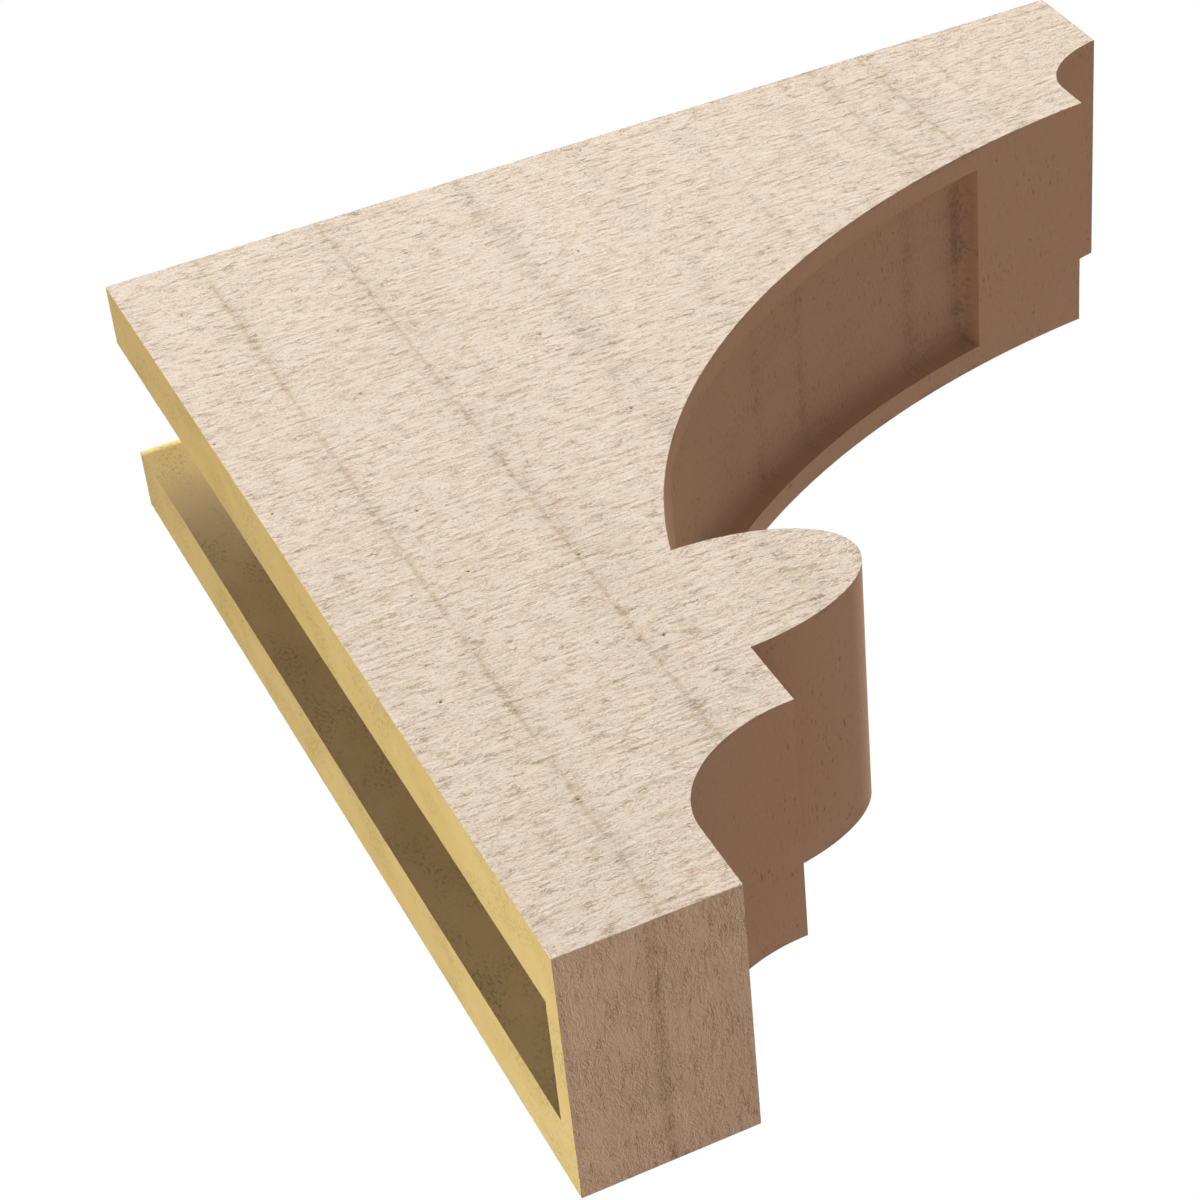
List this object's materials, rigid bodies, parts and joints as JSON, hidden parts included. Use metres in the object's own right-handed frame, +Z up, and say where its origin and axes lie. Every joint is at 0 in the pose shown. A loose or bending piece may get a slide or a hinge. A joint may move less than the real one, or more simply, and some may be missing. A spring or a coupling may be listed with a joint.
{
  "type": "corbel",
  "caption": "Hollow wall corbel with a rough-sawn timber finish: a moulded bracket with coves, a big arc with a sunk panel and a bullnose, open at the back and top.",
  "frame": {"origin": "middle of the bottom wall's back edge, on the plane that lies against the wall", "axes": "+Y points into the wall the corbel is fixed to, the corbel reaches out towards -Y, +Z is up and X is across its width"},
  "size_m": [0.1016, 0.4064, 0.4064],
  "materials": {
    "moulded_skin": "matt tan skin with a rough-sawn grain, bare yellow foam at the cut back, top and inside"
  },
  "bodies": {
    "root": {"corbel_body": "moulded_skin"}
  },
  "joints": []
}
